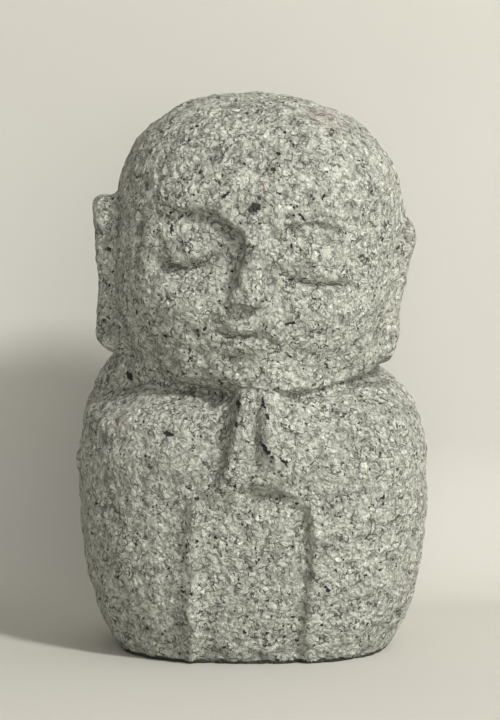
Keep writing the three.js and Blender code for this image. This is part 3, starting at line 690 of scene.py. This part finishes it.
def granite():
    """Hammered pale grey granite. Its places are in millimetres from the middle of the underside."""
    material = bpy.data.materials.new("granite")
    nodes = Nodes(material)
    place = nodes.add("TexCoord").outputs["Object"]
    place = nodes.vector("MULTIPLY", place, (1 / MM,) * 3)
    wobble = nodes.noise(place, WOBBLE_SIZE, 3.0, 0.65).outputs["Color"]
    wobble = nodes.vector("SUBTRACT", wobble, (0.5, 0.5, 0.5))
    bent = nodes.vector("ADD", place, nodes.vector("MULTIPLY", wobble, (GRAIN_BEND,) * 3))
    eased = nodes.vector("ADD", place, nodes.vector("MULTIPLY", wobble, (LINE_BEND,) * 3))

    clouds = nodes.noise(place, CLOUD_SIZE, 3.0, 0.5).outputs["Fac"]
    patches = nodes.noise(place, PATCH_SIZE, 2.0, 0.6).outputs["Fac"]
    mottle = nodes.noise(bent, MOTTLE_SIZE, 3.0, 0.65).outputs["Fac"]
    ground = nodes.mix(nodes.band(mottle, 0.36, 0.6), grey(0.32), grey(0.68))
    ground = nodes.mix(nodes.band(clouds, 0.35, 0.65, 0.0, 0.2), ground, grey(0.4))

    def grains(size, seed, share, reach=CRYSTAL_REACH):
        """Where the crystals of one mineral are."""
        shift = nodes.vector("ADD", bent, (31.7 * seed, 17.1 * seed, 5.3 * seed))
        cells = nodes.add("TexVoronoi", {"Vector": shift, "Scale": 1 / size, "Randomness": 1.0})
        draw = nodes.add("SeparateColor", {0: cells.outputs["Color"]}).outputs[0]
        body = nodes.band(cells.outputs["Distance"], reach, reach - CRYSTAL_EDGE)
        return nodes.product(nodes.math("LESS_THAN", draw, share), body)

    def strokes(size, seed, width, low, high):
        """Thin wavering lines, in the places where patches run from low to high."""
        shift = nodes.vector("ADD", eased, (13.1 * seed, 41.9 * seed, 23.3 * seed))
        field = nodes.noise(shift, size, 1.0, 0.5).outputs["Fac"]
        line = nodes.band(nodes.math("ABSOLUTE", nodes.math("SUBTRACT", field, 0.5)), width, width * 0.3)
        where = nodes.noise(shift, size * 1.7, 1.0, 0.5).outputs["Fac"]
        return nodes.product(line, nodes.band(where, low, high))

    small_mica = nodes.product(grains(**SMALL_MICA), nodes.band(patches, 0.46, 0.55))
    large_mica = nodes.product(grains(**LARGE_MICA), nodes.band(patches, 0.4, 0.48))
    mica = nodes.math("MAXIMUM", small_mica, large_mica)
    bright = nodes.math("MAXIMUM", grains(**SMALL_BRIGHT), grains(**LARGE_BRIGHT))
    cracks = strokes(**CRACKS)
    scratches = strokes(**SCRATCHES)

    # What lies over the ground, from the lowest up: where it is, how strong, and its grey
    layers = (
        (grains(**QUARTZ), 0.55, 0.26),
        (grains(**FELDSPAR), 0.65, 0.72),
        # Painted highlights: the finer glints
        (strokes(**SMALL_GLINTS), 0.4, 0.8),
        (scratches, 0.45, 0.14),
        (strokes(**GLINTS), 0.7, 0.85),
        (cracks, 0.8, 0.06),
        (bright, 0.9, 0.9),
        (mica, 0.95, 0.015),
    )
    colour = ground
    for where, strength, level in layers:
        colour = nodes.mix(nodes.product(where, strength), colour, grey(level))

    x, y, z = nodes.add("SeparateXYZ", {0: bent}).outputs
    front = nodes.math("LESS_THAN", y, 0.0)
    for across, up, half_width, half_height, turn, tint in MARKS:
        c, s = np.cos(np.radians(turn)), np.sin(np.radians(turn))
        dx = nodes.math("SUBTRACT", x, across)
        dz = nodes.math("SUBTRACT", z, up)
        along = nodes.math("ADD", nodes.product(dx, c / half_width), nodes.product(dz, s / half_width))
        over = nodes.product(dz, c / half_height)
        over = nodes.math("SUBTRACT", over, nodes.product(dx, s / half_height))
        away = nodes.math("ADD", nodes.product(along, along), nodes.product(over, over))
        shown = nodes.band(away, *MARK_EDGE, 0.0, FAINT.get(tint, STRONG))
        colour = nodes.mix(nodes.product(shown, front), colour, tint)

    # Painted contact shadow: an uneven dark band just above the underside.
    low = nodes.add("SeparateXYZ", {0: place}).outputs[2]
    uneven = nodes.math("ADD", low, nodes.product(patches, CONTACT_SHADOW_UNEVENNESS))
    colour = nodes.mix(nodes.band(uneven, *CONTACT_SHADOW_HEIGHTS, CONTACT_SHADOW_STRENGTH, 0.0), colour, grey(0.03))

    # Painted shade: the hollows that the hammer left are darkened, the more the deeper they are.
    relief = nodes.add("Attribute", attribute_name="relief").outputs["Fac"]
    colour = nodes.mix(nodes.band(relief, -0.05, -0.6, 0.0, 0.4), colour, grey(0.12))

    fine = nodes.noise(bent, 0.8, 3.0, 0.7).outputs["Fac"]
    coarse = nodes.noise(eased, 1.9, 2.0, 0.6).outputs["Fac"]
    facets = nodes.noise(eased, 2.4, 1.0, 0.5).outputs["Fac"]
    facets = nodes.math("ABSOLUTE", nodes.math("SUBTRACT", facets, 0.5))
    height = nodes.math("ADD", nodes.product(fine, 0.5), nodes.product(coarse, 0.9))
    height = nodes.math("ADD", height, nodes.product(facets, 2.2))
    cut = nodes.math("ADD", cracks, nodes.product(scratches, 0.5))
    height = nodes.math("SUBTRACT", height, nodes.product(cut, 0.3))
    height = nodes.math("SUBTRACT", height, nodes.product(mica, 0.2))
    bump = nodes.add("Bump", {"Height": height, "Strength": 1.0, "Distance": BUMP_DISTANCE})
    roughness = nodes.band(fine, 0.3, 0.7, 0.72, 0.95)
    inputs = {"Base Color": colour, "Roughness": roughness, "Normal": bump.outputs[0]}
    shader = nodes.add("BsdfPrincipled", inputs)
    shader.inputs["IOR"].default_value = 1.5
    shader.inputs["Specular IOR Level"].default_value = 0.3
    nodes.add("OutputMaterial", {"Surface": shader.outputs[0]})
    return material


mesh, middle = statue_mesh()
statue = bpy.data.objects.new("statue_stone", mesh)
bpy.context.collection.objects.link(statue)
mesh.materials.append(granite())
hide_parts("statue")
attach(statue, "root")


# Backdrop, in metres: a pale sheet that lies under the figure and turns up close behind it. It is seen from
# its front only, so that it hides nothing from behind, where a plain floor carries on.
SHEET_HALF_WIDTH = 1.6
SHEET_FRONT = -1.6
SHEET_BACK = 0.1
SHEET_CURVE = 0.045
SHEET_CURVE_STEPS = 33
SHEET_TOP = 1.2
SHEET_MOTTLE_SIZE = 0.05
FLOOR_BACK = 2.0
FLOOR_Z = -0.0002
# The sheet's darker and lighter colour, the heights over which it gets lighter and then darker again
SHEET_COLOURS = ((0.54, 0.53, 0.482, 1), (0.562, 0.552, 0.512, 1))
# Painted shade: the floor and the upper wall are painted darker against the stronger light that they get.
FLOOR_SHADE_HEIGHTS = (0.0, 0.05)
UPPER_SHADE_HEIGHTS = (0.09, 0.2)


def sheet_paint(name, one_sided):
    paint = bpy.data.materials.new(name)
    nodes = Nodes(paint)
    place = nodes.add("TexCoord").outputs["Object"]
    height = nodes.add("SeparateXYZ", {0: place}).outputs[2]
    # Painted shade: lightest round the curve, darker on the floor and higher up the wall
    darker = nodes.band(height, *UPPER_SHADE_HEIGHTS, 0.0, 1.1)
    level = nodes.math("SUBTRACT", nodes.band(height, *FLOOR_SHADE_HEIGHTS), darker)
    tone = nodes.math("ADD", nodes.noise(place, SHEET_MOTTLE_SIZE, 2.0, 0.6).outputs["Fac"], level)
    colour = nodes.mix(nodes.band(tone, 0.3, 1.7), *SHEET_COLOURS)
    shader = nodes.add("BsdfPrincipled", {"Base Color": colour, "Roughness": 0.9})
    shader.inputs["Specular IOR Level"].default_value = 0.2
    surface = shader.outputs[0]
    if one_sided:
        behind = nodes.add("NewGeometry").outputs["Backfacing"]
        clear = nodes.add("BsdfTransparent").outputs[0]
        surface = nodes.add("MixShader", {0: behind, 1: surface, 2: clear}).outputs[0]
    nodes.add("OutputMaterial", {"Surface": surface})
    return paint


def sheet(name, outline, one_sided):
    """A sheet as wide as the backdrop that follows an outline of (y, z)."""
    points = [(side * SHEET_HALF_WIDTH, y, z) for y, z in outline for side in (-1, 1)]
    faces = [(2 * i, 2 * i + 1, 2 * i + 3, 2 * i + 2) for i in range(len(outline) - 1)]
    made_mesh = bpy.data.meshes.new(name)
    made_mesh.from_pydata(points, [], faces)
    made_mesh.shade_smooth()
    made_mesh.materials.append(sheet_paint(name, one_sided))
    made = bpy.data.objects.new(name, made_mesh)
    bpy.context.collection.objects.link(made)


turn = np.radians(np.linspace(0, 90, SHEET_CURVE_STEPS))
curve = zip(SHEET_BACK - SHEET_CURVE * (1 - np.sin(turn)), SHEET_CURVE * (1 - np.cos(turn)))
sheet("backdrop", [(SHEET_FRONT, 0.0), *curve, (SHEET_BACK, SHEET_TOP)], True)
sheet("floor", [(SHEET_BACK - SHEET_CURVE, FLOOR_Z), (FLOOR_BACK, FLOOR_Z)], False)


# Lamps: azimuth and elevation in degrees, distance and width in metres, power in watts. Azimuth 0 is where
# the viewer stands, and 90 is on the viewer's right. They aim at the figure's middle.
LAMPS = dict(
    key=(41, 37.5, 1.5, 0.2, 19.6),
    side=(85, 20, 1.2, 0.9, 3.0),
    front=(8, 0, 1.5, 0.9, 8.0),
)
LAMP_COLOUR = (1.0, 0.985, 0.96)
LAMP_AIM = Vector((0, 0, 0.08))


def lamp(name, azimuth, elevation, distance, width, power):
    around, up = np.radians(azimuth), np.radians(elevation)
    aim = Vector((np.sin(around) * np.cos(up), -np.cos(around) * np.cos(up), np.sin(up)))
    light = bpy.data.lights.new(name, "AREA")
    light.shape = "DISK"
    light.size = width
    light.energy = power
    light.color = LAMP_COLOUR
    made = bpy.data.objects.new(name, light)
    bpy.context.collection.objects.link(made)
    made.location = LAMP_AIM + aim * distance
    made.rotation_euler = aim.to_track_quat("Z", "Y").to_euler()


for name, spec in LAMPS.items():
    lamp(name, *spec)

# The room is paler in front and on the viewer's right.
ROOM_COLOUR = (1.0, 0.985, 0.95, 1)
ROOM_STRENGTHS = (0.1, 0.53)

world = bpy.data.worlds.new("room")
bpy.context.scene.world = world
nodes = Nodes(world)
x, y, z = nodes.add("SeparateXYZ", {0: nodes.add("TexCoord").outputs["Generated"]}).outputs
open_side = nodes.math("SUBTRACT", x, nodes.product(y, 0.8))
strength = nodes.band(open_side, -0.9, 0.9, *ROOM_STRENGTHS)
room = nodes.add("Background", {"Color": ROOM_COLOUR, "Strength": strength})
nodes.add("OutputWorld", {"Surface": room.outputs[0]})

bpy.context.scene.view_settings.view_transform = "Standard"
bpy.context.scene.view_settings.look = "None"

# Camera: the figure's front, from a little above. Distances are in millimetres, and the picture in pixels.
CAMERA_ELEVATION = 4.5
CAMERA_DISTANCE = 620.0
CAMERA_TARGET = np.array([-1.2, 0.0, 78.0])
FOCAL_PIXELS = 2280.0
SENSOR = 36.0
FRAME_HEIGHT = 720
CLIP_START = 0.01

tilt = np.radians(CAMERA_ELEVATION)
target = (CAMERA_TARGET - middle) * MM
back = np.array([0, -np.cos(tilt), np.sin(tilt)]) * CAMERA_DISTANCE * MM
camera = bpy.data.cameras.new("camera")
camera.sensor_width = camera.sensor_height = SENSOR
camera.sensor_fit = "VERTICAL"
camera.lens = FOCAL_PIXELS * SENSOR / FRAME_HEIGHT
camera.clip_start = CLIP_START
eye = bpy.data.objects.new("camera", camera)
bpy.context.collection.objects.link(eye)
eye.location = target + back
eye.rotation_euler = (np.pi / 2 - tilt, 0, 0)
bpy.context.scene.camera = eye
